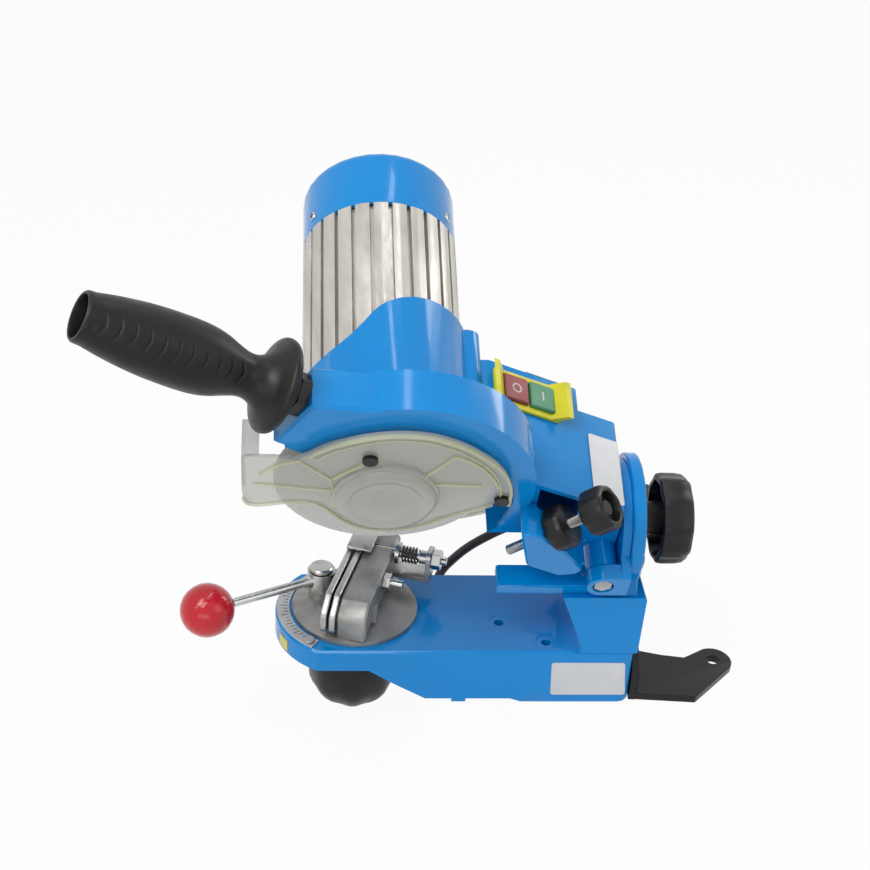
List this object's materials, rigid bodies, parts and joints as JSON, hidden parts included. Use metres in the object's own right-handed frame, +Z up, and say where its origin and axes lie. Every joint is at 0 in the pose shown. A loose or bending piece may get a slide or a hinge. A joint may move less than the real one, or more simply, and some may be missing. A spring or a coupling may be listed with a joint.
{
  "type": "electric chainsaw sharpener",
  "caption": "Bench chain grinder: a motor-driven disc wheel on a tilting, swinging arm above a cast base with a swivelling chain vise.",
  "frame": {"origin": "on the base's underside, on its centre line, midway between the two bench bolt holes along the base", "axes": "+X to the rear of the machine, -X to the operator, -Y to the side with the depth stop, +Z up from the bench"},
  "size_m": [0.4602, 0.3482, 0.3759],
  "materials": {
    "blue": "glossy blue paint on die-cast alloy",
    "steel": "zinc plated",
    "spring_steel": "blackened",
    "yellow": "moulded",
    "red_button": "moulded",
    "green_button": "moulded",
    "plate": "thin bare plate",
    "black_plastic": "moulded",
    "fluted_aluminium": "extruded, satin",
    "dark_steel": "laminated",
    "abrasive": "vitrified grit",
    "clear": "clear moulded guard",
    "black_steel": "black finish",
    "cast_alloy": "as cast, dull",
    "chrome": "plated",
    "red_ball": "glossy",
    "cord_rubber": "black sheath"
  },
  "bodies": {
    "base": {"base_casting": "blue", "scale_plate": "plate", "scale_screw": "steel", "rear_bracket": "black_steel", "cord_relief": "cord_rubber", "cord_run": "cord_rubber", "cord_coil": "cord_rubber", "cord_tail": "cord_rubber", "plug": "black_plastic"},
    "vise": {"vise_turntable": "cast_alloy", "jaw_block": "cast_alloy", "jaw_plate_fixed": "steel", "stop_bracket": "steel", "block_stud": "chrome", "clamp_bolt": "chrome"},
    "vise_lock": {"vise_lock_knob": "black_plastic"},
    "moving_jaw": {"jaw_plate_moving": "steel"},
    "lever": {"clamp_lever": "chrome", "lever_ball": "red_ball"},
    "stop_adjuster": {"adjuster_screw": "chrome", "adjuster_spring": "spring_steel"},
    "pawl": {"chain_stop": "steel"},
    "bracket": {"tilt_bracket": "blue", "tilt_stud": "steel", "hinge_bolt": "steel", "hinge_nut": "steel", "return_spring": "spring_steel", "tilt_washer": "steel"},
    "tilt_lock": {"tilt_lock_knob": "black_plastic"},
    "arm": {"arm_casting": "blue", "switch_frame": "yellow", "rating_plate": "plate", "housing_cover": "black_plastic", "motor_tube": "fluted_aluminium", "motor_cap": "blue", "stator": "dark_steel", "front_bearing": "steel", "rear_bearing": "steel", "clear_cover": "clear", "cover_screw_1": "black_steel", "cover_screw_2": "black_steel", "rear_clear_guard": "clear", "handle_nut": "black_plastic", "side_handle": "black_plastic", "handle_stud": "steel"},
    "wheel": {"rotor_shaft": "steel", "grinding_wheel": "abrasive", "wheel_flange": "steel", "wheel_nut": "steel"},
    "red_button": {"stop_button": "red_button"},
    "green_button": {"start_button": "green_button"},
    "depth_stop": {"depth_screw": "steel"},
    "depth_lock": {"depth_lock_knob": "black_plastic"}
  },
  "joints": [
    {"name": "head_tilt", "type": "hinge", "parent": "base", "child": "bracket", "pos_m": [0.06, 0, 0.13], "axis": [1, 0, 0], "range_deg": [-24, 0]},
    {"name": "arm_swing", "type": "hinge", "parent": "bracket", "child": "arm", "pos_m": [0.046, 0, 0.13], "axis": [0, 0.9135, 0.4067], "range_deg": [-17, 0], "stiffness_Nm_per_rad": 5, "springref_deg": 137.51},
    {"name": "wheel_spin", "type": "hinge", "parent": "arm", "child": "wheel", "pos_m": [-0.107, -0.03254, 0.20308], "axis": [0, 0.9135, 0.4067], "continuous": true},
    {"name": "vise_swivel", "type": "hinge", "parent": "base", "child": "vise", "pos_m": [-0.12, 0.004, 0.05], "axis": [0, 0, 1], "range_deg": [-17.8, 52.2]},
    {"name": "vise_lock_turn", "type": "hinge", "parent": "base", "child": "vise_lock", "pos_m": [-0.12, 0.004, 0], "axis": [0, 0, 1], "range_deg": [-180, 180]},
    {"name": "clamp_turn", "type": "hinge", "parent": "vise", "child": "lever", "pos_m": [-0.14447, 0.00948, 0.07], "axis": [0, 0, 1], "range_deg": [0, 50]},
    {"name": "jaw_close", "type": "slide", "parent": "vise", "child": "moving_jaw", "axis": [0.9553, -0.2957, 0], "range_m": [0, 0.0012]},
    {"name": "adjuster_turn", "type": "hinge", "parent": "vise", "child": "stop_adjuster", "pos_m": [-0.08099, 0.02856, 0.076], "axis": [0.9553, -0.2957, 0], "range_deg": [-360, 360]},
    {"name": "pawl_lift", "type": "hinge", "parent": "vise", "child": "pawl", "pos_m": [-0.1064, 0.04794, 0.0825], "axis": [0.9553, -0.2957, 0], "range_deg": [-25, 0]},
    {"name": "tilt_lock_turn", "type": "hinge", "parent": "bracket", "child": "tilt_lock", "pos_m": [0.1, 0, 0.13], "axis": [1, 0, 0], "range_deg": [-180, 180]},
    {"name": "red_press", "type": "slide", "parent": "arm", "child": "red_button", "axis": [-0.4472, 0.3638, -0.8171], "range_m": [0, 0.002], "stiffness_N_per_m": 600},
    {"name": "green_press", "type": "slide", "parent": "arm", "child": "green_button", "axis": [-0.4472, 0.3638, -0.8171], "range_m": [0, 0.002], "stiffness_N_per_m": 600},
    {"name": "depth_turn", "type": "hinge", "parent": "arm", "child": "depth_stop", "pos_m": [0.011, -0.05769, 0.16123], "axis": [0.7242, -0.2805, 0.63], "range_deg": [-720, 720]},
    {"name": "depth_lock_turn", "type": "hinge", "parent": "arm", "child": "depth_lock", "pos_m": [0.011, -0.05769, 0.16123], "axis": [0.7242, -0.2805, 0.63], "range_deg": [-90, 90]}
  ],
  "couplings": [
    {"joint": "jaw_close", "follows": "clamp_turn", "m_per_rad": 0.001375}
  ]
}
